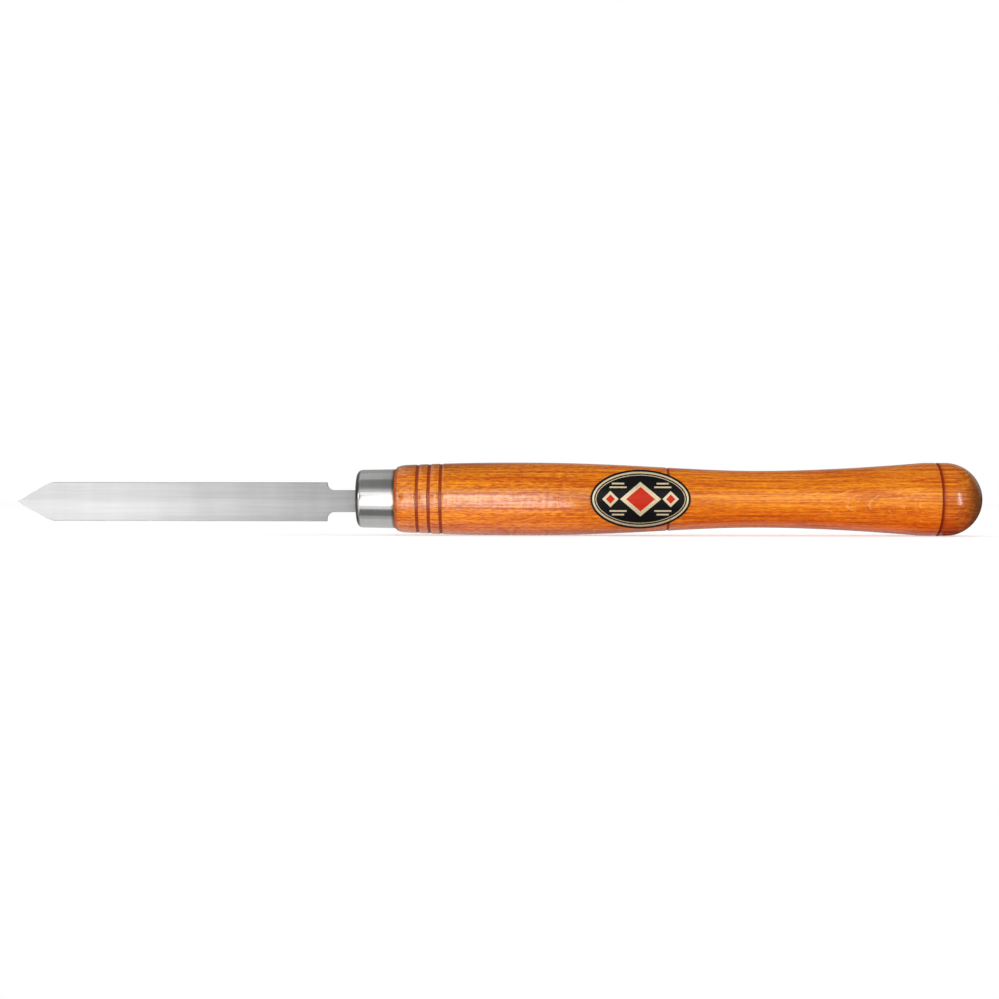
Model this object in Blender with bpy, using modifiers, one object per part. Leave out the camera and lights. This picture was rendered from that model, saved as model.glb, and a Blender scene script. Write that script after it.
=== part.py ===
"""Parting tool for woodturning: a ground steel blade, a drawn ferrule, a turned handle and its label.

Metres, +Z up. The tool lies along X, with its point towards -X and its butt towards +X, and its blade
stands on edge, as it does on a lathe's tool rest. The origin is on the bench, under the middle of the
tool's length, and the handle's axis is above it by the radius of the handle's widest part.
"""

import math

import bmesh
import bpy
import numpy as np

# Gap kept between pieces that touch on the real tool
CLEARANCE = 0.0003

# Blade: a flat bar, thicker along its middle ridge than at its edges
BLADE_LENGTH = 0.1390
BLADE_WIDTH = 0.0174
RIDGE_THICKNESS = 0.0048
EDGE_THICKNESS = 0.0030
EDGE_BREAK = 0.0004
POINT_ANGLE = math.radians(61.0)
HEEL_RADIUS = 0.0080

# Neck and tang, which are one piece with the blade
NECK_LENGTH = 0.0135
NECK_WIDTH = 0.0099
COVE_RADIUS = 0.0030
TANG_LENGTH = 0.0700
TANG_END_WIDTH = 0.0050

# Heights of the blade's middle and of its neck's middle, from the handle's axis
BLADE_OFFSET = -0.0014
NECK_OFFSET = -0.00105

# Ferrule: a drawn cup, a little wider at the back, with a mouth that lets the neck through
FERRULE_LENGTH = 0.0172
FERRULE_RADIUS = 0.01296
FERRULE_FLARE = 0.00027
FERRULE_ROUND = 0.0027
FERRULE_WALL = 0.0010
MOUTH_CLEARANCE = 0.0010

# Handle: distances along it are from its front shoulder, behind the ferrule
HANDLE_LENGTH = 0.2600
SHOULDER_STEP = 0.0002
SHOULDER_LENGTH = 0.0055
COLLAR_RADIUS = 0.01516
SWELL_AT = 0.0520
SWELL_RADIUS = 0.01623
SWELL_FULLNESS = 1.25
WAIST_AT = 0.1600
WAIST_LENGTH = 0.0035
WAIST_RADIUS = 0.01263
FLARE_POWER = 1.7
POMMEL_RADIUS = 0.01625
POMMEL_BAND = 0.0097

# Grooves turned into the handle: rings near the ferrule, one at mid length, one on the pommel's band
RING_FIRST = 0.0099
RING_PITCH = 0.0052
RING_COUNT = 3
MID_GROOVE_AT = 0.1207
POMMEL_GROOVE_BACK = 0.0037
GROOVE_WIDTH = 0.0013
GROOVE_FLOOR = 0.0005
GROOVE_DEPTH = 0.0005

# Label: an oval sticker wrapped on the front of the handle, which looks towards -Y
LABEL_AT = 0.1081
LABEL_LENGTH = 0.0440
LABEL_SPAN = 0.0260
LABEL_THICKNESS = 0.0002

# Fineness of the round shapes
TURN_STEPS = 48
BODY_STEPS = 36
ARC_STEPS = 6
DOME_STEPS = 10
OVAL_STEPS = 36
LABEL_STEPS = 10
SMOOTH_ANGLE = math.radians(30.0)
MERGE = 0.000001

# Turns that stand an outline upright in the plane of X and Z, or square to X
UPRIGHT = (math.pi / 2, 0.0, 0.0)
SQUARE_TO_X = (0.0, math.pi / 2, 0.0)

# Finishes: colour, roughness and metallic value
GROUND_STEEL = ((0.62, 0.62, 0.63), 0.32, 1.0)
DRAWN_STEEL = ((0.60, 0.60, 0.61), 0.22, 1.0)
STAINED_BEECH = ((0.72, 0.21, 0.03), 0.35, 0.0)
LABEL_FOIL = ((0.02, 0.018, 0.015), 0.35, 0.0)

# Places that follow from the sizes above
OVERALL_LENGTH = BLADE_LENGTH + NECK_LENGTH + FERRULE_LENGTH + CLEARANCE + HANDLE_LENGTH
TIP_X = -OVERALL_LENGTH / 2
SHOULDER_X = TIP_X + BLADE_LENGTH
FERRULE_X = SHOULDER_X + NECK_LENGTH
SPIGOT_X = FERRULE_X + FERRULE_WALL + CLEARANCE
TANG_END_X = FERRULE_X + TANG_LENGTH
HANDLE_X = FERRULE_X + FERRULE_LENGTH + CLEARANCE
AXIS_Z = max(POMMEL_RADIUS, SWELL_RADIUS)
FERRULE_BACK_RADIUS = FERRULE_RADIUS + FERRULE_FLARE
BORE_RADIUS = FERRULE_RADIUS - FERRULE_WALL
BORE_ROUND = FERRULE_ROUND - FERRULE_WALL
NECK_REACH = math.hypot(abs(NECK_OFFSET) + NECK_WIDTH / 2, RIDGE_THICKNESS / 2)
MOUTH_RADIUS = NECK_REACH + MOUTH_CLEARANCE
SPIGOT_RADIUS = BORE_RADIUS - CLEARANCE
SHOULDER_RADIUS = FERRULE_BACK_RADIUS + SHOULDER_STEP
FLARE_START = WAIST_AT + WAIST_LENGTH
DOME_AT = HANDLE_LENGTH - POMMEL_RADIUS
FLARE_END = DOME_AT - POMMEL_BAND
RING_GROOVES = [RING_FIRST + RING_PITCH * i for i in range(RING_COUNT)]
GROOVES = [*RING_GROOVES, MID_GROOVE_AT, DOME_AT - POMMEL_GROOVE_BACK]


def clear_scene():
    for obj in list(bpy.data.objects):
        bpy.data.objects.remove(obj, do_unlink=True)


def new_collection(name):
    collection = bpy.data.collections.new(name)
    bpy.context.scene.collection.children.link(collection)
    return collection


def give_finish(obj, name, finish):
    colour, roughness, metallic = finish
    material = bpy.data.materials.new(name)
    material.use_nodes = True
    shader = material.node_tree.nodes["Principled BSDF"]
    shader.inputs["Base Color"].default_value = (*colour, 1.0)
    shader.inputs["Roughness"].default_value = roughness
    shader.inputs["Metallic"].default_value = metallic
    obj.data.materials.append(material)


def arc(x, y, radius, start, end, steps):
    """Points of an arc about (x, y), between two angles in degrees, with both ends."""
    angles = np.radians(np.linspace(start, end, steps + 1))
    return [(x + radius * math.cos(a), y + radius * math.sin(a)) for a in angles]


def as_mesh(source, collection):
    """Replaces an object by its evaluated mesh, welded and placed in the world."""
    depsgraph = bpy.context.evaluated_depsgraph_get()
    mesh = bpy.data.meshes.new_from_object(source.evaluated_get(depsgraph))
    mesh.transform(source.matrix_world)
    shape = bmesh.new()
    shape.from_mesh(mesh)
    bmesh.ops.remove_doubles(shape, verts=shape.verts, dist=MERGE)
    shape.to_mesh(mesh)
    shape.free()
    mesh.shade_smooth()
    mesh.set_sharp_from_angle(angle=SMOOTH_ANGLE)
    name = source.name
    bpy.data.objects.remove(source, do_unlink=True)
    obj = bpy.data.objects.new(name, mesh)
    collection.objects.link(obj)
    return obj


def flat_solid(name, points, thickness, place, turn, collection):
    """A closed outline given thickness to both sides of its plane, then turned and placed."""
    curve = bpy.data.curves.new(name, "CURVE")
    curve.dimensions = "2D"
    curve.fill_mode = "BOTH"
    curve.extrude = thickness / 2
    spline = curve.splines.new("POLY")
    spline.points.add(len(points) - 1)
    for point, (x, y) in zip(spline.points, points):
        point.co = (x, y, 0.0, 1.0)
    spline.use_cyclic_u = True
    obj = bpy.data.objects.new(name, curve)
    collection.objects.link(obj)
    obj.location = place
    obj.rotation_euler = turn
    bpy.context.view_layer.update()
    return as_mesh(obj, collection)


def turned_solid(name, profile, closed, collection):
    """A profile of (distance along X, radius), from front to back, spun about the handle's axis."""
    points = [(radius, 0.0, along) for along, radius in reversed(profile)]
    edges = [(i, i + 1) for i in range(len(points) - 1)]
    if closed:
        edges.append((len(points) - 1, 0))
    mesh = bpy.data.meshes.new(name)
    mesh.from_pydata(points, edges, [])
    obj = bpy.data.objects.new(name, mesh)
    collection.objects.link(obj)
    obj.location = (0.0, 0.0, AXIS_Z)
    obj.rotation_euler = SQUARE_TO_X
    screw = obj.modifiers.new("turn", "SCREW")
    screw.axis = "Z"
    screw.steps = TURN_STEPS
    screw.render_steps = TURN_STEPS
    screw.use_merge_vertices = True
    screw.merge_threshold = MERGE
    bpy.context.view_layer.update()
    return as_mesh(obj, collection)


def cut(target, cutter, operation):
    cutter.hide_render = True
    cutter.display_type = "WIRE"
    boolean = target.modifiers.new(cutter.name, "BOOLEAN")
    boolean.operation = operation
    boolean.object = cutter
    boolean.solver = "EXACT"


def blade_side(side):
    """The outline above (1) or below (-1) the blade's middle, from its point to the end of its tang."""
    half_angle = POINT_ANGLE / 2
    half_width = BLADE_WIDTH / 2
    neck_edge = side * (NECK_OFFSET - BLADE_OFFSET) + NECK_WIDTH / 2
    tang_edge = side * (NECK_OFFSET - BLADE_OFFSET) + TANG_END_WIDTH / 2
    cove = min(COVE_RADIUS, half_width - neck_edge)
    heel_x = TIP_X + half_width / math.tan(half_angle) + HEEL_RADIUS * math.tan(half_angle / 2)
    bevel_normal = 90 + math.degrees(half_angle)
    outline = [(TIP_X, 0.0)]
    outline += arc(heel_x, half_width - HEEL_RADIUS, HEEL_RADIUS, bevel_normal, 90, ARC_STEPS)
    outline.append((SHOULDER_X, half_width))
    outline += arc(SHOULDER_X + cove, neck_edge + cove, cove, 180, 270, ARC_STEPS)
    outline.append((SPIGOT_X, neck_edge))
    outline.append((TANG_END_X, tang_edge))
    return [(x, side * y) for x, y in outline]


def make_blade(parts, cutters):
    """A bar of the blade's section, cut to the blade's outline."""
    half_width = BLADE_WIDTH / 2
    half_edge = EDGE_THICKNESS / 2
    quarter = [
        (0.0, RIDGE_THICKNESS / 2),
        (half_width - EDGE_BREAK, half_edge),
        (half_width, half_edge - EDGE_BREAK),
    ]
    upper = quarter + [(across, -depth) for across, depth in reversed(quarter)]
    section = upper + [(-across, depth) for across, depth in reversed(upper[1:-1])]
    bar_place = (0.0, 0.0, AXIS_Z + BLADE_OFFSET)
    blade = flat_solid("blade", section, 2 * OVERALL_LENGTH, bar_place, SQUARE_TO_X, parts)
    outline = blade_side(1) + list(reversed(blade_side(-1)[1:]))
    outline_place = (0.0, 0.0, AXIS_Z + BLADE_OFFSET)
    silhouette = flat_solid("blade_outline", outline, 2 * RIDGE_THICKNESS, outline_place, UPRIGHT, cutters)
    cut(blade, silhouette, "INTERSECT")
    give_finish(blade, "ground_steel", GROUND_STEEL)


def make_ferrule(parts):
    """A drawn cup with a rounded front edge and a round mouth, of one wall thickness."""
    outer = [(0.0, MOUTH_RADIUS)]
    outer += arc(FERRULE_ROUND, FERRULE_RADIUS - FERRULE_ROUND, FERRULE_ROUND, 180, 90, ARC_STEPS)
    outer.append((FERRULE_LENGTH, FERRULE_BACK_RADIUS))
    inner = [(FERRULE_LENGTH, BORE_RADIUS)]
    inner += arc(FERRULE_WALL + BORE_ROUND, BORE_RADIUS - BORE_ROUND, BORE_ROUND, 90, 180, ARC_STEPS)
    inner.append((FERRULE_WALL, MOUTH_RADIUS))
    profile = [(FERRULE_X + along, radius) for along, radius in outer + inner]
    ferrule = turned_solid("ferrule", profile, True, parts)
    give_finish(ferrule, "drawn_steel", DRAWN_STEEL)


def ease(t):
    """Rises from 0 to 1, level at both ends."""
    return t * t * (3 - 2 * t)


def handle_radius(along):
    """The handle's radius, with no grooves, at a distance from its front shoulder."""
    if along < SHOULDER_LENGTH:
        rest = 1 - along / SHOULDER_LENGTH
        return SHOULDER_RADIUS + (COLLAR_RADIUS - SHOULDER_RADIUS) * math.sqrt(1 - rest * rest)
    if along < SWELL_AT:
        rest = (SWELL_AT - along) / (SWELL_AT - SHOULDER_LENGTH)
        return SWELL_RADIUS - (SWELL_RADIUS - COLLAR_RADIUS) * rest * rest
    if along < WAIST_AT:
        t = (along - SWELL_AT) / (WAIST_AT - SWELL_AT)
        return SWELL_RADIUS - (SWELL_RADIUS - WAIST_RADIUS) * ease(t**SWELL_FULLNESS)
    if along < FLARE_END:
        t = max(along - FLARE_START, 0.0) / (FLARE_END - FLARE_START)
        return WAIST_RADIUS + (POMMEL_RADIUS - WAIST_RADIUS) * t**FLARE_POWER
    return POMMEL_RADIUS


def groove_profile(at):
    """The corners of one groove, from front to back."""
    floor_radius = handle_radius(at) - GROOVE_DEPTH
    return [
        (at - GROOVE_WIDTH / 2, handle_radius(at - GROOVE_WIDTH / 2)),
        (at - GROOVE_FLOOR / 2, floor_radius),
        (at + GROOVE_FLOOR / 2, floor_radius),
        (at + GROOVE_WIDTH / 2, handle_radius(at + GROOVE_WIDTH / 2)),
    ]


def make_handle(parts, cutters):
    """The turned handle with its spigot and grooves, and the mortise that takes the tang."""
    shoulder = np.linspace(0.0, SHOULDER_LENGTH, ARC_STEPS + 1)
    body = np.linspace(SHOULDER_LENGTH, DOME_AT, BODY_STEPS + 1)
    stations = [*shoulder, *body[1:-1]]
    surface = [(s, handle_radius(s)) for s in stations if all(abs(s - g) > GROOVE_WIDTH for g in GROOVES)]
    for groove in GROOVES:
        surface += groove_profile(groove)
    surface.sort()
    surface += arc(DOME_AT, 0.0, POMMEL_RADIUS, 90, 0, DOME_STEPS)
    surface[-1] = (HANDLE_LENGTH, 0.0)
    spigot = [
        (SPIGOT_X, 0.0),
        (SPIGOT_X, SPIGOT_RADIUS - BORE_ROUND),
        (SPIGOT_X + BORE_ROUND, SPIGOT_RADIUS),
        (HANDLE_X, SPIGOT_RADIUS),
    ]
    profile = spigot + [(HANDLE_X + along, radius) for along, radius in surface]
    handle = turned_solid("handle", profile, False, parts)

    mouth_half = NECK_WIDTH / 2 + CLEARANCE
    end_half = TANG_END_WIDTH / 2 + CLEARANCE
    mortise_outline = [
        (SPIGOT_X - FERRULE_WALL, mouth_half),
        (SPIGOT_X, mouth_half),
        (TANG_END_X + CLEARANCE, end_half),
        (TANG_END_X + CLEARANCE, -end_half),
        (SPIGOT_X, -mouth_half),
        (SPIGOT_X - FERRULE_WALL, -mouth_half),
    ]
    mortise_depth = RIDGE_THICKNESS + 2 * CLEARANCE
    place = (0.0, 0.0, AXIS_Z + NECK_OFFSET)
    mortise = flat_solid("mortise", mortise_outline, mortise_depth, place, UPRIGHT, cutters)
    cut(handle, mortise, "DIFFERENCE")
    give_finish(handle, "stained_beech", STAINED_BEECH)


def make_label(parts, cutters):
    """A thin sleeve on the handle, cut from the front to the label's oval."""
    reach = LABEL_LENGTH / 2 + CLEARANCE
    stations = np.linspace(LABEL_AT - reach, LABEL_AT + reach, LABEL_STEPS + 1)
    inner = [(HANDLE_X + s, handle_radius(s) + CLEARANCE) for s in stations]
    outer = [(along, radius + LABEL_THICKNESS) for along, radius in inner]
    label = turned_solid("label", outer + list(reversed(inner)), True, parts)
    turns = np.linspace(0.0, 2 * math.pi, OVAL_STEPS, endpoint=False)
    oval = [(LABEL_LENGTH / 2 * math.cos(a), LABEL_SPAN / 2 * math.sin(a)) for a in turns]
    depth = 2 * SWELL_RADIUS
    place = (HANDLE_X + LABEL_AT, -depth / 2, AXIS_Z)
    outline = flat_solid("label_outline", oval, depth, place, UPRIGHT, cutters)
    cut(label, outline, "INTERSECT")
    give_finish(label, "label_foil", LABEL_FOIL)


def main():
    clear_scene()
    parts = new_collection("parting_tool")
    cutters = new_collection("cutters")
    make_blade(parts, cutters)
    make_ferrule(parts)
    make_handle(parts, cutters)
    make_label(parts, cutters)


main()
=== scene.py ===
# %% Load the frame
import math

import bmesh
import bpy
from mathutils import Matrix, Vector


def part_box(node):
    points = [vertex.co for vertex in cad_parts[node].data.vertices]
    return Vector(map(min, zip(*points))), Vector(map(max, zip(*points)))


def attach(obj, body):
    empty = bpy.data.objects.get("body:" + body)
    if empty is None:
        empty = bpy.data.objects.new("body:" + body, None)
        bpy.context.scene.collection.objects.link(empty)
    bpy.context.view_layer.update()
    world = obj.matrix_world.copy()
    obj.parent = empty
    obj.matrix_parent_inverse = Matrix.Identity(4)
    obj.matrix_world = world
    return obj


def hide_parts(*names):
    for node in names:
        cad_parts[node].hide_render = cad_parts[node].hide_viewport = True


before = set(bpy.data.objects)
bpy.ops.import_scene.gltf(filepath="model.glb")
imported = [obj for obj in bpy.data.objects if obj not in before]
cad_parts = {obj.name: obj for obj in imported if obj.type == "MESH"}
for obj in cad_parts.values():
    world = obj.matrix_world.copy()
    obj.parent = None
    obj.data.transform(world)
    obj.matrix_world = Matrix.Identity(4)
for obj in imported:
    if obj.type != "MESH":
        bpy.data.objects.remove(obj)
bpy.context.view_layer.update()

# %% [markdown]
# # Dressing a parting tool
# A parting tool is a woodturner's chisel. It has a pointed steel blade, a steel ferrule, a turned wooden
# handle and a label. The lines above load the tool's solids, which give the true size and place of each
# piece. This lesson models a finer piece over each solid, gives it a finish, and lights it as a studio
# photographer would. The box of the solids is kept first, because the dressed tool has to stay inside it.

# %% [markdown]
# ## Working as by hand
# Each piece starts as a primitive and is shaped in edit mode. By hand you would click on the faces and
# edges that you want. In a script you say where they are, so `pick` takes a test of a corner's place and
# selects what has all its corners there. The solids come in selected, as the last line prints, and an
# operator acts on all that is selected, so `only` deselects everything first.

# %% Helpers for modelling
def only(obj):
    """Makes one object the selected and the active one."""
    bpy.ops.object.select_all(action="DESELECT")
    obj.select_set(True)
    bpy.context.view_layer.objects.active = obj


def settle(name, scale=(1, 1, 1)):
    """Names and scales the new object, and moves its place, turn and size into its mesh."""
    obj = bpy.context.object
    only(obj)
    obj.name = name
    obj.scale = scale
    bpy.ops.object.transform_apply(location=True, rotation=True, scale=True)
    return obj


def edit(obj):
    """Opens an object in edit mode, with all of it selected."""
    only(obj)
    bpy.ops.object.mode_set(mode="EDIT")
    bpy.ops.mesh.select_all(action="SELECT")


def leave_edit():
    bpy.ops.object.mode_set(mode="OBJECT")


def pick(kind, test):
    """In edit mode, selects each VERT, EDGE or FACE whose corners all pass the test."""
    bpy.ops.mesh.select_mode(type=kind)
    bpy.ops.mesh.select_all(action="DESELECT")
    mesh = bpy.context.object.data
    shape = bmesh.from_edit_mesh(mesh)
    parts = {"VERT": shape.verts, "EDGE": shape.edges, "FACE": shape.faces}[kind]
    for part in parts:
        corners = [part] if kind == "VERT" else part.verts
        if all(test(corner.co) for corner in corners):
            part.select_set(True)
    bmesh.update_edit_mesh(mesh)


def block(name, low, high):
    """A cube stretched between two corners."""
    middle = [(a + b) / 2 for a, b in zip(low, high)]
    size = [b - a for a, b in zip(low, high)]
    bpy.ops.mesh.primitive_cube_add(size=1.0, location=middle)
    return settle(name, size)


def report(obj):
    """Prints what a piece has come to."""
    size_mm = [round(1000 * length, 2) for length in obj.dimensions]
    print(obj.name, "faces", len(obj.data.polygons), "size mm", size_mm)


print("selected on loading:", sorted(obj.name for obj in bpy.context.selected_objects))

# %% [markdown]
# ## The camera
# The photograph looks straight at the side of the tool, from a little right of its middle. The rings on the
# handle bow away from that place, which tells how far off the camera was: about three quarters of a metre.
# A long lens then makes the tool fill the picture.

# %% Camera
CAMERA_DISTANCE = 0.751
CAMERA_X = 0.0174
AIM_X = 0.0011
AIM_DROP = 0.00025
CAMERA_ROLL = math.radians(-0.0737)
LENS_MM = 60.6

handle_low, handle_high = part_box("handle")
axis_z = (handle_low.z + handle_high.z) / 2
turn = math.atan((CAMERA_X - AIM_X) / CAMERA_DISTANCE)
dip = math.atan(AIM_DROP / CAMERA_DISTANCE)
bpy.ops.object.camera_add(
    location=(CAMERA_X, -CAMERA_DISTANCE, axis_z),
    rotation=(math.pi / 2 - dip, CAMERA_ROLL, turn),
)
camera = bpy.context.object
camera.data.lens = LENS_MM
bpy.context.scene.camera = camera
bpy.context.scene.view_settings.view_transform = "Standard"
print("camera looks at the axis, at height", round(axis_z, 5))

# %% [markdown]
# ## The blade
# The real blade is a bar of high-speed steel, ground a little thinner towards its edges so that it doesn't
# bind in its own cut. It could be drawn as an outline and extruded, but the thick middle would be lost.
# Here a cube becomes the bar, a cut along its middle is pulled out as a ridge on both sides, and bevels
# soften the ridges and break the long edges. A corner counts as on a plane when it is less than TINY off.

# %% Blade: the bar
TINY = 0.00001
EDGE_THICKNESS = 0.0030
EDGE_BREAK = 0.0004
EDGE_STEPS = 2
RIDGE_SOFTNESS = 0.0015
RIDGE_STEPS = 4

blade_low, blade_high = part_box("blade")
blade_z = (blade_low.z + blade_high.z) / 2
half_width = (blade_high.z - blade_low.z) / 2
half_ridge = (blade_high.y - blade_low.y) / 2
half_edge = EDGE_THICKNESS / 2
at_rim = half_width - TINY
at_face = half_edge - TINY

blade = block(
    "ground_blade",
    (blade_low.x, -half_edge, blade_low.z),
    (blade_high.x, half_edge, blade_high.z),
)
edit(blade)
bpy.ops.mesh.bisect(plane_co=(0, 0, blade_z), plane_no=(0, 0, 1))
for side in (-1, 1):
    pick("EDGE", lambda p: abs(p.z - blade_z) < TINY and p.y * side > 0)
    bpy.ops.transform.translate(value=(0, side * (half_ridge - half_edge), 0))
for side in (-1, 1):
    pick("EDGE", lambda p: abs(p.z - blade_z) < TINY and p.y * side > 0)
    bpy.ops.mesh.bevel(offset=RIDGE_SOFTNESS, segments=RIDGE_STEPS)
for upper in (-1, 1):
    for side in (-1, 1):
        pick("EDGE", lambda p: (p.z - blade_z) * upper > at_rim and p.y * side > at_face)
        bpy.ops.mesh.bevel(offset=EDGE_BREAK, segments=EDGE_STEPS)
leave_edit()
report(blade)

# %% [markdown]
# The point is ground from above and from below. Each side is one slice with a plane, and a few more slices,
# each turned a little further, make the heel behind it round. Bisect fills its own cut, so the bar stays
# closed.

# %% Blade: the point
POINT_ANGLE = math.radians(61.0)
HEEL_RADIUS = 0.0080
HEEL_SLICES = 6

half_angle = POINT_ANGLE / 2
heel_x = blade_low.x + half_width / math.tan(half_angle) + HEEL_RADIUS * math.tan(half_angle / 2)


def slice_off(x, z, normal_x, normal_z):
    """Removes what lies beyond a plane through (x, z), and closes the cut."""
    bpy.ops.mesh.select_all(action="SELECT")
    bpy.ops.mesh.bisect(
        plane_co=(x, 0, z), plane_no=(normal_x, 0, normal_z), use_fill=True, clear_outer=True
    )


edit(blade)
for upper in (-1, 1):
    slice_off(blade_low.x, blade_z, -math.sin(half_angle), upper * math.cos(half_angle))
    for step in range(1, HEEL_SLICES):
        lean = half_angle * step / HEEL_SLICES
        x = heel_x - HEEL_RADIUS * math.sin(lean)
        z = half_width - HEEL_RADIUS * (1 - math.cos(lean))
        slice_off(x, blade_z + upper * z, -math.sin(lean), upper * math.cos(lean))
leave_edit()
report(blade)

# %% [markdown]
# Behind its shoulders the blade narrows to a neck, with a round cove in each corner that keeps the steel
# from cracking there, and then tapers into the tang. Two blocks are cut away, one above and one below.
# The block's own corner is bevelled round, so the cut leaves the cove. Modifiers do the cutting, and then
# break the last sharp edges, so that these catch the light as real edges do.

# %% Helpers for modifiers
def apply_modifier(obj, kind, **settings):
    """Adds a modifier, sets it and applies it."""
    only(obj)
    modifier = obj.modifiers.new(kind.lower(), kind)
    for name, value in settings.items():
        setattr(modifier, name, value)
    bpy.ops.object.modifier_apply(modifier=modifier.name)


def cut_away(obj, cutter):
    """Cuts the cutter's shape out of the object and removes the cutter."""
    apply_modifier(obj, "BOOLEAN", operation="DIFFERENCE", solver="EXACT", object=cutter)
    bpy.data.objects.remove(cutter, do_unlink=True)


def smooth(obj, degrees):
    """Shades smooth across edges that bend by less than an angle."""
    only(obj)
    bpy.ops.object.shade_smooth_by_angle(angle=math.radians(degrees))


def break_edges(obj, width, steps, sharper_than, smooth_below):
    """Rounds the edges that are sharper than an angle, and keeps the flats between them flat."""
    limit = math.radians(sharper_than)
    apply_modifier(obj, "BEVEL", width=width, segments=steps, limit_method="ANGLE", angle_limit=limit)
    smooth(obj, smooth_below)
    apply_modifier(obj, "WEIGHTED_NORMAL", keep_sharp=True)


# %% Blade: shoulders, neck and tang
BLADE_LENGTH = 0.1390
NECK_LENGTH = 0.0135
NECK_WIDTH = 0.0099
NECK_RISE = 0.00035
COVE_RADIUS = 0.0030
COVE_STEPS = 8
TANG_END_WIDTH = 0.0050
TANG_STARTS = 0.0013
BLADE_CRISPNESS = 0.00012

shoulder_x = blade_low.x + BLADE_LENGTH
tang_x = shoulder_x + NECK_LENGTH + TANG_STARTS
neck_z = blade_z + NECK_RISE
for upper in (-1, 1):
    inner = neck_z + upper * NECK_WIDTH / 2
    outer = blade_z + upper * 2 * half_width
    notch = block(
        "notch",
        (shoulder_x, -2 * half_ridge, min(inner, outer)),
        (blade_high.x + NECK_LENGTH, 2 * half_ridge, max(inner, outer)),
    )
    edit(notch)
    bpy.ops.mesh.bisect(plane_co=(tang_x, 0, 0), plane_no=(1, 0, 0))
    bpy.ops.mesh.select_all(action="SELECT")
    bpy.ops.mesh.bisect(plane_co=(blade_high.x, 0, 0), plane_no=(1, 0, 0))
    pick("VERT", lambda p: p.x > blade_high.x - TINY and abs(p.z - inner) < TINY)
    bpy.ops.transform.translate(value=(0, 0, -upper * (NECK_WIDTH - TANG_END_WIDTH) / 2))
    pick("EDGE", lambda p: p.x < shoulder_x + TINY and abs(p.z - inner) < TINY)
    bpy.ops.mesh.bevel(offset=COVE_RADIUS, segments=COVE_STEPS)
    leave_edit()
    cut_away(blade, notch)
break_edges(blade, BLADE_CRISPNESS, steps=2, sharper_than=28, smooth_below=25)
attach(blade, "root")
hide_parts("blade")
report(blade)

# %% [markdown]
# ## The ferrule
# The ferrule is a cup drawn from sheet steel and pressed on the wood, to stop the tang from splitting it.
# A cylinder gets the same steps: its front is opened by an inset, its front rim is rolled over with a wide
# bevel, its back is spread a little where the wood pushes into it, and Solidify gives the sheet its wall.

# %% Ferrule
FERRULE_RADIUS = 0.01296
FERRULE_ROUND = 0.0027
ROUND_STEPS = 10
FERRULE_WALL = 0.0010
MOUTH_RADIUS = 0.00746
RIM_CRISPNESS = 0.00018
AROUND = 144
ALONG_X = (0, math.pi / 2, 0)

ferrule_low, ferrule_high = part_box("ferrule")
back_radius = (ferrule_high.z - ferrule_low.z) / 2
bpy.ops.mesh.primitive_cylinder_add(
    vertices=AROUND,
    radius=FERRULE_RADIUS,
    depth=ferrule_high.x - ferrule_low.x,
    location=((ferrule_low.x + ferrule_high.x) / 2, 0, axis_z),
    rotation=ALONG_X,
)
ferrule = settle("drawn_ferrule")
edit(ferrule)
pick("FACE", lambda p: p.x > ferrule_high.x - TINY)
bpy.ops.mesh.delete(type="FACE")
pick("FACE", lambda p: p.x < ferrule_low.x + TINY)
bpy.ops.mesh.inset(thickness=FERRULE_RADIUS - MOUTH_RADIUS)
bpy.ops.mesh.delete(type="FACE")
rim = FERRULE_RADIUS - TINY
pick("EDGE", lambda p: p.x < ferrule_low.x + TINY and math.hypot(p.y, p.z - axis_z) > rim)
bpy.ops.mesh.bevel(offset=FERRULE_ROUND, segments=ROUND_STEPS)
pick("VERT", lambda p: p.x > ferrule_high.x - TINY)
spread = back_radius / FERRULE_RADIUS
bpy.ops.transform.resize(value=(1, spread, spread), center_override=(ferrule_high.x, 0, axis_z))
leave_edit()
apply_modifier(ferrule, "SOLIDIFY", thickness=FERRULE_WALL, offset=-1.0)
break_edges(ferrule, RIM_CRISPNESS, steps=3, sharper_than=40, smooth_below=30)
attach(ferrule, "root")
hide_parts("ferrule")
report(ferrule)

# %% [markdown]
# ## The handle
# The handle is turned on a lathe from one piece of beech, so it is modelled the same way: a profile spun
# about its axis. The radius comes from a few sizes that a turner would measure: the shoulder, the collar,
# the swell, the waist and the pommel. `handle_radius` runs a smooth curve from each to the next.

# %% Handle: its profile
SHOULDER_RADIUS = 0.01343
SHOULDER_LENGTH = 0.0055
COLLAR_RADIUS = 0.01516
SWELL_AT = 0.0520
SWELL_RADIUS = 0.01623
SWELL_FULLNESS = 1.25
WAIST_AT = 0.1600
WAIST_LENGTH = 0.0035
WAIST_RADIUS = 0.01263
FLARE_POWER = 1.7
POMMEL_RADIUS = 0.01625
POMMEL_BAND = 0.0097
CLEARANCE = 0.0003

handle_x = ferrule_high.x + CLEARANCE
handle_length = handle_high.x - handle_x
dome_at = handle_length - POMMEL_RADIUS
flare_start = WAIST_AT + WAIST_LENGTH
flare_end = dome_at - POMMEL_BAND


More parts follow.
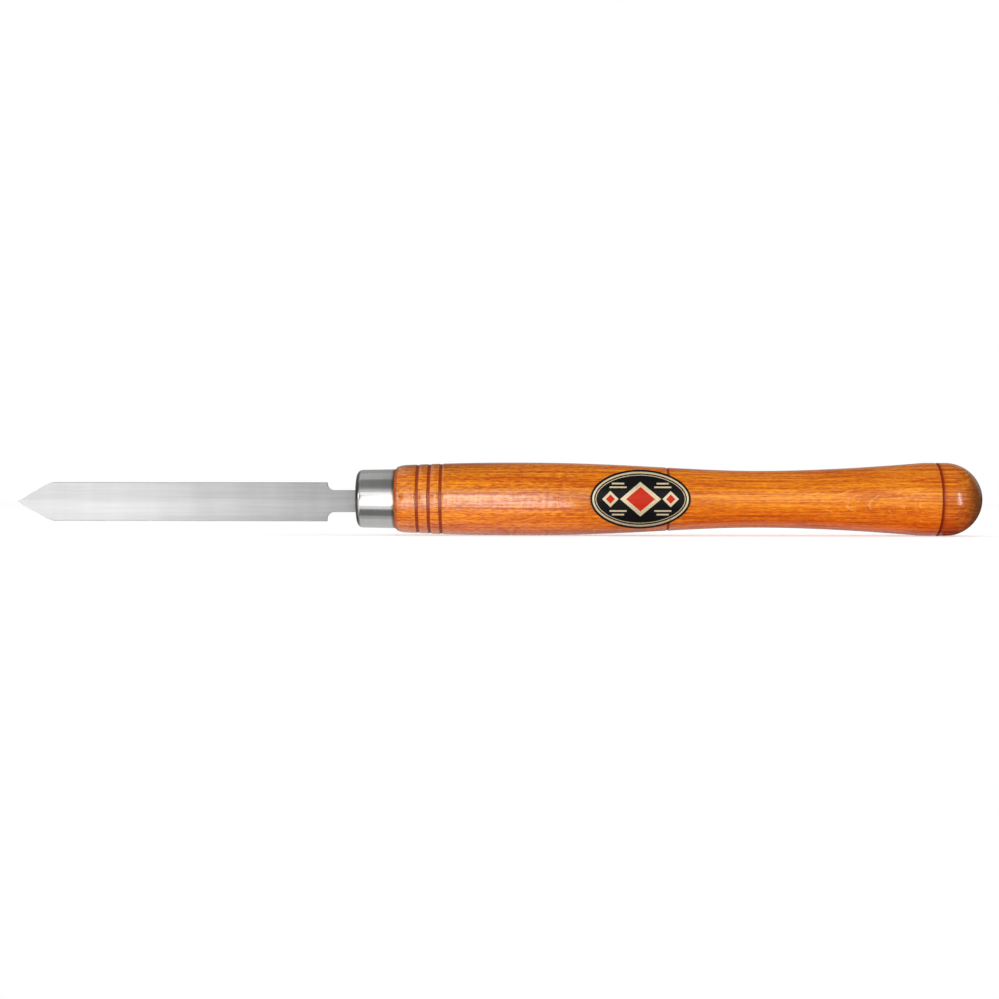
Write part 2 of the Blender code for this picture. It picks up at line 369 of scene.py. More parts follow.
def handle_radius(along):
    """The handle's radius, before its grooves are cut, at a distance from its front shoulder."""
    if along < SHOULDER_LENGTH:
        rest = 1 - along / SHOULDER_LENGTH
        return SHOULDER_RADIUS + (COLLAR_RADIUS - SHOULDER_RADIUS) * math.sqrt(1 - rest * rest)
    if along < SWELL_AT:
        rest = (SWELL_AT - along) / (SWELL_AT - SHOULDER_LENGTH)
        return SWELL_RADIUS - (SWELL_RADIUS - COLLAR_RADIUS) * rest * rest
    if along < WAIST_AT:
        t = ((along - SWELL_AT) / (WAIST_AT - SWELL_AT)) ** SWELL_FULLNESS
        return SWELL_RADIUS - (SWELL_RADIUS - WAIST_RADIUS) * t * t * (3 - 2 * t)
    if along < flare_end:
        t = max(along - flare_start, 0.0) / (flare_end - flare_start)
        return WAIST_RADIUS + (POMMEL_RADIUS - WAIST_RADIUS) * t**FLARE_POWER
    return POMMEL_RADIUS


print("handle behind the ferrule, mm", round(1000 * handle_length, 1))

# %% [markdown]
# Grooves are cut last on the real handle, so they are taken off the radius here. The rings are cut with a
# narrow square tool, so they have a flat bottom and steep walls. The groove before the pommel is steep in
# front, flat below, and rolled over into the pommel behind. `groove_cut` says how deep the wood is cut at
# any distance from the handle's front.

# %% Handle: its grooves
RING_COUNT = 3
RING_DEPTH = 0.00024
RING_FIRST = 0.0099
RING_PITCH = 0.0052
RING_HALF = 0.00090
RING_WALL = 0.00035
MID_GROOVE_AT = 0.1207
MID_HALF = 0.00075
POMMEL_DEPTH = 0.00026
POMMEL_GROOVE_BACK = 0.0046
POMMEL_FRONT = 0.00008
POMMEL_FLAT = 0.0006
POMMEL_ROLL = 0.0008

rings = [(RING_FIRST + RING_PITCH * ring, RING_HALF) for ring in range(RING_COUNT)]
rings.append((MID_GROOVE_AT, MID_HALF))
pommel_groove = dome_at - POMMEL_GROOVE_BACK


def ease(share):
    """A smooth step from 0 to 1."""
    share = min(max(share, 0.0), 1.0)
    return share * share * (3 - 2 * share)


def ring_cut(along):
    """How deep the rings reach there, from 0 to 1."""
    return max(ease((half - abs(along - at)) / RING_WALL) for at, half in rings)


def pommel_cut(along):
    """How deep the groove before the pommel reaches there, from 0 to 1."""
    behind = along - pommel_groove
    if behind < POMMEL_FLAT:
        return ease(1 + behind / POMMEL_FRONT)
    return max(1 - (behind - POMMEL_FLAT) / POMMEL_ROLL, 0.0) ** 2


def groove_cut(along):
    """How deep the wood is cut there, in metres."""
    return max(RING_DEPTH * ring_cut(along), POMMEL_DEPTH * pommel_cut(along))


print("grooves at mm", [round(1000 * at, 1) for at, half in rings], round(1000 * pommel_groove, 1))

# %% [markdown]
# One vertex is extruded from point to point down the profile, and the line is spun. The points lie closer
# together where the profile bends: at the shoulder, in the grooves and on the dome. A plain blank with no
# grooves is spun too. It isn't shown: the label is pressed on it later, so that the label bridges the
# groove under it as a stiff foil does.

# %% Handle: points down the profile
SPIGOT_RADIUS = 0.01166
SPIGOT_ROUND = 0.0017
SHOULDER_GAP = 0.00003
BODY_STEP = 0.0020
SHOULDER_STEPS = 12
GROOVE_STEPS = 14
DOME_STEPS = 28

spigot_x = ferrule_low.x + FERRULE_WALL + CLEARANCE


def profile_points(with_grooves):
    """Points of (x, radius) down the handle's profile, from the spigot's end to the butt."""
    count = round(dome_at / BODY_STEP)
    stations = [dome_at * i / count for i in range(count)]
    stations += [SHOULDER_LENGTH * i / SHOULDER_STEPS for i in range(1, SHOULDER_STEPS)]
    spans = [(at - half, at + half) for at, half in rings]
    roll_at = pommel_groove + POMMEL_FLAT
    spans.append((pommel_groove - POMMEL_FRONT, roll_at))
    spans.append((roll_at, roll_at + POMMEL_ROLL))
    for start, end in spans:
        stations = [s for s in stations if not start <= s <= end]
        stations += [start + (end - start) * i / GROOVE_STEPS for i in range(GROOVE_STEPS + 1)]
    share = 1.0 if with_grooves else 0.0
    shoulder = ferrule_high.x + SHOULDER_GAP
    points = [
        (spigot_x, 0.0),
        (spigot_x, SPIGOT_RADIUS - SPIGOT_ROUND),
        (spigot_x + SPIGOT_ROUND, SPIGOT_RADIUS),
        (shoulder, SPIGOT_RADIUS),
        (shoulder, SHOULDER_RADIUS),
    ]
    points += [(handle_x + s, handle_radius(s) - share * groove_cut(s)) for s in sorted(set(stations))]
    for i in range(DOME_STEPS + 1):
        angle = math.pi / 2 * i / DOME_STEPS
        x = handle_x + dome_at + POMMEL_RADIUS * math.sin(angle)
        points.append((x, POMMEL_RADIUS * math.cos(angle)))
    return points


print("points down the profile:", len(profile_points(True)))

# %% Handle: spin the profile
SEED_SIZE = 0.001


def turn_profile(name, points):
    """Extrudes one vertex down the profile and spins the line about the handle's axis."""
    bpy.ops.mesh.primitive_plane_add(size=SEED_SIZE, location=(points[0][0], 0, axis_z + points[0][1]))
    turned = settle(name)
    edit(turned)
    bpy.ops.mesh.merge(type="CENTER")
    for (x, radius), (next_x, next_radius) in zip(points, points[1:]):
        step = (next_x - x, 0, next_radius - radius)
        bpy.ops.mesh.extrude_vertices_move(TRANSFORM_OT_translate={"value": step})
    bpy.ops.mesh.select_all(action="SELECT")
    bpy.ops.mesh.spin(steps=AROUND, angle=2 * math.pi, center=(0, 0, axis_z), axis=(1, 0, 0))
    bpy.ops.mesh.select_all(action="SELECT")
    bpy.ops.mesh.remove_doubles(threshold=TINY / 2)
    bpy.ops.mesh.normals_make_consistent(inside=False)
    leave_edit()
    return turned


handle = turn_profile("turned_handle", profile_points(True))
blank = turn_profile("plain_blank", profile_points(False))
report(handle)

# %% [markdown]
# The tang sits in a tapered mortise, so the handle is cut to clear it. Then each vertex is told how dark
# the wood is there: stain in the grooves, with painted shade over it, and painted shade on the front
# shoulder, where the wood turns in towards the ferrule. The finish will read that number from the attribute
# "groove" to darken the wood.

# %% Handle: mortise, stain and painted shade
# Stain in the grooves, with painted shade over it
RING_STAIN_AND_SHADE = 0.88
POMMEL_STAIN_AND_SHADE = 0.98
STAIN_REACH = 0.0014
# Painted shade on the front shoulder, next to the ferrule
SHOULDER_SHADE = 0.60
SHOULDER_REACH = 0.0016
HANDLE_SMOOTH = 50

mortise_half = NECK_WIDTH / 2 + CLEARANCE
mortise_depth = half_ridge + CLEARANCE
end_share = (TANG_END_WIDTH / 2 + CLEARANCE) / mortise_half
mortise = block(
    "mortise",
    (spigot_x, -mortise_depth, neck_z - mortise_half),
    (blade_high.x + CLEARANCE, mortise_depth, neck_z + mortise_half),
)
edit(mortise)
pick("FACE", lambda p: p.x > blade_high.x)
bpy.ops.transform.resize(value=(1, 1, end_share), center_override=(blade_high.x, 0, neck_z))
pick("FACE", lambda p: p.x < spigot_x + TINY)
bpy.ops.mesh.extrude_region_move(TRANSFORM_OT_translate={"value": (-FERRULE_WALL, 0, 0)})
leave_edit()
cut_away(handle, mortise)


def stain_and_shade_at(along):
    """How much stain and painted shade lies there: both all over a ring and part of the way up the pommel,
    painted shade alone on the shoulder.
    """
    on_the_roll = along - pommel_groove - POMMEL_FLAT
    corner = ease(1 + (along - pommel_groove) / POMMEL_FRONT) * ease(1 - on_the_roll / STAIN_REACH)
    # Painted shade on the shoulder, where it turns in towards the ferrule
    shoulder = SHOULDER_SHADE * ease(2 - 2 * along / SHOULDER_REACH)
    return max(RING_STAIN_AND_SHADE * ring_cut(along), POMMEL_STAIN_AND_SHADE * corner, shoulder)


stains_and_shade = handle.data.attributes.new("groove", "FLOAT", "POINT")
for vertex, stain_and_shade in zip(handle.data.vertices, stains_and_shade.data):
    stain_and_shade.value = stain_and_shade_at(vertex.co.x - handle_x)
smooth(handle, HANDLE_SMOOTH)
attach(handle, "root")
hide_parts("handle")
report(handle)

# %% [markdown]
# ## The label
# The label is an oval of printed foil, stuck on the front of the handle. A filled circle is stretched to
# the oval and inset again and again. The insets give the printed rim its lines, and give the sheet enough
# corners to bend. Shrinkwrap then presses it on the blank from the front, and Solidify makes it a sheet.
# The print is plain: a gold rim, three lozenges in a row and some bars.

# %% Helpers for the label
HOVER = 0.03
UPRIGHT = (math.pi / 2, 0, 0)
FOIL_SMOOTH = 40

label_low, label_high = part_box("label")
label_x = (label_low.x + label_high.x) / 2


def new_finish(name):
    """A named finish with no detail yet."""
    material = bpy.data.materials.new(name)
    material.use_nodes = True
    return material


def flat_round(name, corners, x, half_long, half_high):
    """A filled circle with so many corners, stretched, that hovers before the handle."""
    bpy.ops.mesh.primitive_circle_add(
        vertices=corners, radius=1.0, fill_type="NGON", location=(x, -HOVER, axis_z), rotation=UPRIGHT
    )
    return settle(name, (half_long, half_high, 1))


def press_on(obj, lift, thickness):
    """Bends a flat shape on the blank, from the front, and gives it a thickness."""
    apply_modifier(
        obj,
        "SHRINKWRAP",
        target=blank,
        wrap_method="PROJECT",
        use_project_y=True,
        use_positive_direction=True,
        use_negative_direction=False,
        offset=lift,
    )
    apply_modifier(obj, "SOLIDIFY", thickness=thickness, offset=-1.0)
    smooth(obj, FOIL_SMOOTH)


black_foil = new_finish("black_foil")
gold_foil = new_finish("gold_foil")
red_foil = new_finish("red_foil")
print("foils:", black_foil.name, gold_foil.name, red_foil.name)

# %% Label: the sheet
FOIL_THICKNESS = 0.0002
LABEL_CORNERS = 128
BLACK = 0
GOLD = 1
RIM_INSETS = ((BLACK, 0.0009), (GOLD, 0.0008), (BLACK, 0.0006), (GOLD, 0.0003))
FIELD_RINGS = 9
HAIRLINE = 0.0001

label_half = (label_high.x - label_low.x) / 2
label_span = (label_high.z - label_low.z) / 2
label = flat_round("oval_label", LABEL_CORNERS, label_x, label_half, label_span)
label.data.materials.append(black_foil)
label.data.materials.append(gold_foil)
edit(label)
for foil, width in RIM_INSETS:
    label.active_material_index = foil
    bpy.ops.object.material_slot_assign()
    bpy.ops.mesh.inset(thickness=width)
label.active_material_index = BLACK
bpy.ops.object.material_slot_assign()
for ring in range(FIELD_RINGS, 1, -1):
    share = (ring - 1) / ring
    bpy.ops.mesh.inset(thickness=HAIRLINE)
    bpy.ops.transform.resize(value=(share, 1, share), center_override=(label_x, -HOVER, axis_z))
leave_edit()
press_on(label, FOIL_THICKNESS, FOIL_THICKNESS)
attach(label, "root")
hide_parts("label")
report(label)

# %% [markdown]
# The print stands a hair's breadth above the sheet, as foil stamping does. Each lozenge is a circle of four
# corners, inset once for its coloured heart, and the bars are planes. All are subdivided before they bend,
# and then joined, because they are one print.

# %% Label: lozenges and bars
# Each lozenge: its place from the label's middle, half its length, half its height, the width of its rim
LOZENGES = (
    (0.0, 0.0090, 0.0076, 0.0017),
    (-0.0132, 0.0036, 0.0036, 0.0011),
    (0.0132, 0.0036, 0.0036, 0.0011),
)
LOZENGE_CORNERS = 4
HEART = 1
BEND_CUTS = 7
BAR_LENGTH = 0.0075
BAR_HEIGHT = 0.0007
BAR_AT = 0.0098
BAR_PITCH = 0.0016
BAR_START = 0.0052
BAR_SHORTER = 0.28
BAR_ROWS = 2


def add_bar(side, upper, row):
    """One bar of the rows above and below the small lozenges."""
    z = axis_z + upper * (BAR_START + BAR_PITCH * row)
    bpy.ops.mesh.primitive_plane_add(
        size=1.0, location=(label_x + side * BAR_AT, -HOVER, z), rotation=UPRIGHT
    )
    bar = settle("bar", (BAR_LENGTH * (1 - BAR_SHORTER * row), BAR_HEIGHT, 1))
    bar.data.materials.append(gold_foil)
    edit(bar)
    bpy.ops.mesh.subdivide(number_cuts=BEND_CUTS)
    leave_edit()
    return bar


prints = []
for x, half_long, half_high, wall in LOZENGES:
    lozenge = flat_round("lozenge", LOZENGE_CORNERS, label_x + x, half_long, half_high)
    lozenge.data.materials.append(gold_foil)
    lozenge.data.materials.append(red_foil)
    edit(lozenge)
    bpy.ops.mesh.inset(thickness=wall)
    lozenge.active_material_index = HEART
    bpy.ops.object.material_slot_assign()
    bpy.ops.mesh.select_all(action="SELECT")
    bpy.ops.mesh.subdivide(number_cuts=BEND_CUTS)
    leave_edit()
    prints.append(lozenge)
for upper in (-1, 1):
    for side in (-1, 1):
        for row in range(BAR_ROWS):
            prints.append(add_bar(side, upper, row))
print("shapes in the print:", len(prints))

# %% Label: the print
PRINT_THICKNESS = 0.00004
PRINT_LIFT = 0.00006

only(prints[0])
for shape in prints:
    shape.select_set(True)
bpy.ops.object.join()
label_print = bpy.context.object
label_print.name = "label_print"
press_on(label_print, FOIL_THICKNESS + PRINT_LIFT, PRINT_THICKNESS)
bpy.data.objects.remove(blank, do_unlink=True)
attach(label_print, "root")
report(label_print)

# %% [markdown]
# ## Finishes: tools
# A finish is a small network of nodes. By hand you would drag nodes in and join them with lines. Here `add`
# makes one node and joins it to others, and each helper below it names a job that comes back often, such
# as stretching a pattern along the grain.

# %% Helpers for nodes
def add(tree, kind, inputs=None, **settings):
    """Adds a node. Inputs are given by name or number, as values or as other nodes' outputs."""
    made = tree.nodes.new(kind)
    for name, value in settings.items():
        setattr(made, name, value)
    for name, value in (inputs or {}).items():
        if isinstance(value, bpy.types.NodeSocket):
            tree.links.new(value, made.inputs[name])
        else:
            made.inputs[name].default_value = value
    return made


def maths(tree, operation, first, second=0.0, clamp=False):
    inputs = {0: first, 1: second}
    return add(tree, "ShaderNodeMath", inputs, operation=operation, use_clamp=clamp).outputs[0]


def stretch(tree, vector, scale):
    """Scales a place, so that a pattern is finer or longer along an axis."""
    return add(tree, "ShaderNodeMapping", {"Vector": vector, "Scale": scale}).outputs[0]


def noise(tree, vector, detail=2.0, rough=0.5):
    inputs = {"Vector": vector, "Scale": 1.0, "Detail": detail, "Roughness": rough}
    return add(tree, "ShaderNodeTexNoise", inputs).outputs[0]


def line_noise(tree, value):
    """A noise that changes with one value alone."""
    inputs = {"W": value, "Scale": 1.0, "Detail": 2.0}
    return add(tree, "ShaderNodeTexNoise", inputs, noise_dimensions="1D").outputs[0]


def between(tree, value, low, high, to_low=0.0, to_high=1.0):
    """Spreads a value between two limits over a new range."""
    inputs = {"Value": value, "From Min": low, "From Max": high, "To Min": to_low, "To Max": to_high}
    return add(tree, "ShaderNodeMapRange", inputs).outputs[0]


def weighed(tree, parts):
    """Adds up values that vary about 0.5, each with its own weight, to one that varies about 0.5."""
    total = 0.5
    for value, weight in parts:
        inputs = {0: maths(tree, "SUBTRACT", value, 0.5), 1: weight, 2: total}
        total = add(tree, "ShaderNodeMath", inputs, operation="MULTIPLY_ADD").outputs[0]
    return total


def blend(tree, share, first, second):
    """Mixes two colours."""
    return add(tree, "ShaderNodeMix", {0: share, 6: first, 7: second}, data_type="RGBA").outputs[2]


# %% [markdown]
# Two groups hold what more than one finish needs. `drawn_lines` gives long thin lines, which are grinding
# marks on steel and streaks in wood. `handled` gives the soft patches that hands leave on any surface. Each
# finish stretches the lines in its own way, and one change to a group changes every finish.

# %% Groups that several finishes share
LINE_ROUGHNESS = 0.6
FINER = (2, 2.2, 2.2)
PATCH_SIZE = (70, 70, 70)
PATCH_ROUGHNESS = 0.55
PATCH_RANGE = (0.35, 0.65)


def new_group(name, outputs):
    """A group that takes a place and puts out values."""
    group = bpy.data.node_groups.new(name, "ShaderNodeTree")
    group.interface.new_socket("Vector", in_out="INPUT", socket_type="NodeSocketVector")
    for socket in outputs:
        group.interface.new_socket(socket, in_out="OUTPUT", socket_type="NodeSocketFloat")
    inlet = group.nodes.new("NodeGroupInput").outputs["Vector"]
    return group, inlet, group.nodes.new("NodeGroupOutput").inputs


drawn_lines, inlet, outlets = new_group("drawn_lines", ["Lines", "Fine"])
broad = noise(drawn_lines, inlet, detail=4.0, rough=LINE_ROUGHNESS)
fine = noise(drawn_lines, stretch(drawn_lines, inlet, FINER), detail=3.0, rough=LINE_ROUGHNESS)
drawn_lines.links.new(broad, outlets["Lines"])
drawn_lines.links.new(fine, outlets["Fine"])

handled, inlet, outlets = new_group("handled", ["Patches"])
patches = noise(handled, stretch(handled, inlet, PATCH_SIZE), detail=3.0, rough=PATCH_ROUGHNESS)
handled.links.new(between(handled, patches, *PATCH_RANGE), outlets["Patches"])
print("groups:", drawn_lines.name, handled.name)

# %% [markdown]
# ## Finish: ground steel
# The blade is ground lengthwise and left satin. Its colour is brightest at the point and dullest at the
# neck, so a share that grows from the neck to the point sets the colour, and long faint lines and soft
# patches are laid over it. Every finish measures its place from the handle's axis, so that heights above
# and below the axis are plain numbers.

# %% Helpers for finishes
def start_finish(material):
    """The material's tree, its shader and the place on the piece, from the handle's axis."""
    tree = material.node_tree
    place = add(tree, "ShaderNodeTexCoord").outputs["Object"]
    centred = add(tree, "ShaderNodeMapping", {"Vector": place, "Location": (0, 0, -axis_z)}).outputs[0]
    return tree, tree.nodes["Principled BSDF"], centred


def place_group(tree, group, vector):
    """Puts a group in a finish and feeds it a place."""
    placed = add(tree, "ShaderNodeGroup", node_tree=group)
    tree.links.new(vector, placed.inputs[0])
    return placed.outputs


def bump(tree, shader, height, distance):
    """Turns a height from 0 to 1 into small slopes, as deep as the distance."""
    made = add(tree, "ShaderNodeBump", {"Height": height, "Distance": distance, "Strength": 1.0})
    tree.links.new(made.outputs[0], shader.inputs["Normal"])


# %% Ground steel
BRIGHT_TIP_LENGTH = 0.050
GRINDING = (22, 900, 900)
CLOUDS = (95, 22, 22)
DULL_STEEL = (0.365, 0.365, 0.367, 1)
BRIGHT_STEEL = (0.78, 0.78, 0.782, 1)
SATIN = (0.52, 0.68)
GRINDING_DEPTH = 0.000004

ground_steel = new_finish("ground_steel")
tree, shader, place = start_finish(ground_steel)
lines = place_group(tree, drawn_lines, stretch(tree, place, GRINDING))
wear = place_group(tree, handled, place)
along = add(tree, "ShaderNodeSeparateXYZ", {0: place}).outputs["X"]
# The colour grows brighter from the neck to the point
brighter_to_point = between(tree, along, shoulder_x, blade_low.x + BRIGHT_TIP_LENGTH)
clouds = noise(tree, stretch(tree, place, CLOUDS))
tone = weighed(tree, [(brighter_to_point, 0.8), (lines["Lines"], 0.35), (lines["Fine"], 0.2), (clouds, 0.28)])
tree.links.new(blend(tree, tone, DULL_STEEL, BRIGHT_STEEL), shader.inputs["Base Color"])
shader.inputs["Metallic"].default_value = 1.0
rough = weighed(tree, [(lines["Fine"], 0.25), (wear["Patches"], 0.06)])
tree.links.new(between(tree, rough, 0.0, 1.0, *SATIN), shader.inputs["Roughness"])
bump(tree, shader, lines["Fine"], GRINDING_DEPTH)
blade.data.materials.append(ground_steel)
print("finish:", ground_steel.name, "nodes", len(tree.nodes))

# %% [markdown]
# ## Finish: drawn steel
# The ferrule was spun and polished on a lathe, so its fine lines run round it. On a place along X and round
# the axis, that is a pattern that changes fast along X and slowly across it. Two bands are painted over it
# by their place along X: a painted dark reflection on the rounded front edge, and at the back, next to the
# wood, a brown painted shadow and reflection of the wood.

# %% Drawn steel
TURNING = (1500, 40, 40)
DARK_STEEL = (0.55, 0.545, 0.535, 1)
PALE_STEEL = (0.69, 0.685, 0.675, 1)
GLOSS = (0.12, 0.24)
TURNING_DEPTH = 0.000003
# Colour of the painted dark reflection on the rounded front edge
PAINTED_REFLECTION_COLOUR = (0.03, 0.029, 0.028, 1)
# Colour of the painted shadow and reflection of the wood at the back edge
PAINTED_WOOD_SHADE_COLOUR = (0.20, 0.105, 0.07, 1)
# Each line: from and to along X, from the ferrule's end, and how strong it is at both
# The painted dark reflection on the rounded front edge, kept off the flat front face
PAINTED_REFLECTION_BAND = (0.0013, 0.0022, 0.88, 0.0)
BARE_FACE = (0.0001, 0.0003, 0.2, 1.0)
# The painted shadow and reflection of the wood at the back edge
PAINTED_WOOD_SHADE_BAND = (-0.0014, -0.0004, 0.0, 0.8)

drawn_steel = new_finish("drawn_steel")
tree, shader, place = start_finish(drawn_steel)
lines = place_group(tree, drawn_lines, stretch(tree, place, TURNING))
wear = place_group(tree, handled, place)
along = add(tree, "ShaderNodeSeparateXYZ", {0: place}).outputs["X"]


def line_across(end_x, start, stop, from_share, to_share):
    """A share that changes along the ferrule, between two distances from one of its ends."""
    return between(tree, along, end_x + start, end_x + stop, from_share, to_share)


tone = weighed(tree, [(lines["Lines"], 0.9), (wear["Patches"], 0.15)])
colour = blend(tree, tone, DARK_STEEL, PALE_STEEL)
# A painted dark reflection on the rounded front edge, then a painted shadow and reflection of the wood at
# the back
behind_edge = line_across(ferrule_low.x, *PAINTED_REFLECTION_BAND)
before_edge = line_across(ferrule_low.x, *BARE_FACE)
colour = blend(tree, maths(tree, "MULTIPLY", behind_edge, before_edge), colour, PAINTED_REFLECTION_COLOUR)
colour = blend(tree, line_across(ferrule_high.x, *PAINTED_WOOD_SHADE_BAND), colour, PAINTED_WOOD_SHADE_COLOUR)
tree.links.new(colour, shader.inputs["Base Color"])
shader.inputs["Metallic"].default_value = 1.0
rough = weighed(tree, [(lines["Fine"], 0.6), (wear["Patches"], 0.2)])
tree.links.new(between(tree, rough, 0.0, 1.0, *GLOSS), shader.inputs["Roughness"])
bump(tree, shader, lines["Fine"], TURNING_DEPTH)
ferrule.data.materials.append(drawn_steel)
print("finish:", drawn_steel.name, "nodes", len(tree.nodes))

# %% [markdown]
# ## Finish: stained beech
# The handle is beech, stained orange and lacquered. Its grain runs along X. Wood is a solid pattern, so the
# noises read the place in space and not a wrapped picture: fibres are long in X and short across, and the
# growth layers are shells about a pith that lies inside the handle, near its back. Where the handle flares,
# the layers come out as arrowheads, as on the real one. Short dark dashes are the rays that beech is known
# by.

# %% Stained beech: grain
PITH = (0, 0.013, 0.002)
FIBRES = (14, 420, 1350)
BANDS = (16, 330, 330)
WAVER = (45, 120, 120)
WAVER_DEPTH = 0.0005
LAYERS_PER_METRE = 2200.0
PORES = (380, 1900, 1900)
DASHES = (210, 1350, 1350)
DASH_RANGE = (0.62, 0.72)

stained_beech = new_finish("stained_beech")
tree, shader, place = start_finish(stained_beech)
sides = add(tree, "ShaderNodeSeparateXYZ", {0: place}).outputs
fibres = place_group(tree, drawn_lines, stretch(tree, place, FIBRES))
wear = place_group(tree, handled, place)
bands = noise(tree, stretch(tree, place, BANDS))
waver = noise(tree, stretch(tree, place, WAVER))
to_pith = tuple(-p for p in PITH)
from_pith = add(tree, "ShaderNodeMapping", {"Vector": place, "Location": to_pith}).outputs[0]
across = stretch(tree, from_pith, (0, 1, 1))
depth = add(tree, "ShaderNodeVectorMath", {0: across}, operation="LENGTH").outputs["Value"]
depth = maths(tree, "ADD", depth, maths(tree, "MULTIPLY", waver, WAVER_DEPTH))
layers = line_noise(tree, maths(tree, "MULTIPLY", depth, LAYERS_PER_METRE))
pores = noise(tree, stretch(tree, place, PORES), detail=1.0)
dashes = between(tree, noise(tree, stretch(tree, place, DASHES), detail=1.0), *DASH_RANGE)
print("grain: nodes so far", len(tree.nodes))

# %% [markdown]
# On the flare a few growth layers are painted as short pale strokes, a painted highlight that stands in for
# the lacquer's glints on them. Each is a thin shell at one depth from the pith, broken up by a noise, and
# kept to the flare and to the middle of the side, where the sheen falls. `overlap` multiplies two masks,
# which leaves what lies in both.

# %% Stained beech: pale strokes
STROKES_PER_METRE = 1900.0
STROKE_WIDTH = (0.080, 0.030)
STROKE_BREAKS = (290, 560, 560)
BREAK_RANGE = (0.50, 0.56)
STROKES_START = (0.125, 0.140)
STROKES_END = (0.189, 0.186)
# Keeps the painted glints to the middle of the side, where the sheen falls
STROKES_HIGH = (0.0070, 0.0045)


def overlap(tree, first, second):
    """A mask of what lies in both masks."""
    return maths(tree, "MULTIPLY", first, second)


breaks = noise(tree, stretch(tree, place, STROKE_BREAKS), detail=1.0)
off_axis = maths(tree, "ABSOLUTE", sides["Z"])
shell = maths(tree, "FRACT", maths(tree, "MULTIPLY", depth, STROKES_PER_METRE))
off_shell = maths(tree, "ABSOLUTE", maths(tree, "SUBTRACT", shell, 0.5))
strokes = between(tree, off_shell, *STROKE_WIDTH)
for value, limits in (
    (breaks, BREAK_RANGE),
    (sides["X"], STROKES_START),
    (sides["X"], STROKES_END),
    (off_axis, STROKES_HIGH),
):
    strokes = overlap(tree, strokes, between(tree, value, *limits))
print("strokes from x", STROKES_START[0], "to", STROKES_END[0])

# %% [markdown]
# The grain becomes a colour on a ramp from red-brown to yellow-orange. The handle's front has more pores,
# which break the streaks into short marks, and the streaks stand out most on the pommel, so the weights of
# both change along X.

# %% Stained beech: from grain to colour
FRONT_ENDS = (0.030, 0.100)
PORES_FADE = (0.020, 0.060, 1.9, 1.1)
CALMER_WAIST = 0.95
LIVELIER_POMMEL = 0.5
POMMEL_EDGE = 0.001
RED_BROWN = (0.50, 0.076, 0.0003, 1)
ORANGE = (0.755, 0.180, 0.001, 1)
YELLOW_ORANGE = (0.98, 0.335, 0.008, 1)

pommel_x = handle_x + pommel_groove
pommel_edge = (pommel_x, pommel_x + POMMEL_EDGE)
streaks = weighed(tree, [(fibres["Lines"], 2.5), (fibres["Fine"], 0.8), (bands, 0.4), (layers, 0.6)])
calm = between(tree, sides["X"], *FRONT_ENDS, 1.0, CALMER_WAIST)
calm = maths(tree, "ADD", calm, between(tree, sides["X"], *pommel_edge, 0.0, LIVELIER_POMMEL))
pitted = between(tree, sides["X"], *PORES_FADE)
tone = weighed(tree, [(streaks, calm), (pores, pitted), (wear["Patches"], 0.05)])
ramp = add(tree, "ShaderNodeValToRGB", {"Fac": tone})
stops = ramp.color_ramp.elements
stops[0].color = RED_BROWN
stops[1].color = YELLOW_ORANGE
stops.new(0.5).color = ORANGE
print("colours on the ramp:", len(stops))

# %% [markdown]
# The wood is redder on its lower side. The other tints are painted light and shade: painted shade along the
# top of the front and painted light under it, painted shade on the middle of the front and painted light on
# the middle of the waist, painted shade on the middle and on the low side of the pommel, and painted light
# on the low rim of the waist. Each of these is a mask with soft limits along X or Z, and a tint that
# multiplies the colour, so the grain stays.

# %% Stained beech: tints, most of them painted light and shade
REDDER_SHARE = (0.05, 0.75)
NOSE_ENDS = (-0.035, 0.022)
WAIST_STARTS = (0.060, 0.100)
LOW_SIDE = (0.001, -0.014)
TOP_SIDE = (0.0095, 0.0140)
MIDDLE_ROWS = (0.0065, 0.0030)
LOW_RIM = (-0.0095, -0.0130)
BELOW_AXIS = (0.000, -0.007)
REDDER_BELOW = (1.18, 0.77, 0.27, 1)
# Painted shade along the top of the front
PAINTED_SHADE_TOP_FRONT = (0.60, 0.57, 0.66, 1)
# Painted shade on the middle rows of the front, under the sheen
PAINTED_SHADE_MID_FRONT = (0.86, 0.88, 1.0, 1)
# Painted light on the middle rows of the waist
PAINTED_LIGHT_MID_WAIST = (1.05, 1.16, 1.0, 1)
# Painted shade on the middle rows of the pommel
PAINTED_SHADE_MID_POMMEL = (0.86, 0.75, 0.5, 1)
# Painted light on the low rim of the waist
PAINTED_LIGHT_LOW_RIM = (1.10, 1.20, 1.0, 1)
# Painted shade on the low side of the pommel
PAINTED_SHADE_LOW_POMMEL = (0.72, 0.50, 0.30, 1)
# Painted light on the lower side of the front
PAINTED_LIGHT_LOW_FRONT = (1.14, 1.17, 1.40, 1)


def tinted(tree, share, colour, tint):
    """Multiplies a colour by a tint, so that the pattern in it stays."""
    inputs = {0: share, 6: colour, 7: tint}
    return add(tree, "ShaderNodeMix", inputs, data_type="RGBA", blend_type="MULTIPLY").outputs[2]


front = between(tree, sides["X"], *FRONT_ENDS, 1.0, 0.0)
nose = between(tree, sides["X"], *NOSE_ENDS, 1.0, 0.0)
waist = between(tree, sides["X"], *WAIST_STARTS)
on_pommel = between(tree, sides["X"], *pommel_edge)
waist_alone = overlap(tree, waist, maths(tree, "SUBTRACT", 1.0, on_pommel))
low_side = between(tree, sides["Z"], *LOW_SIDE)
middle_rows = between(tree, off_axis, *MIDDLE_ROWS)
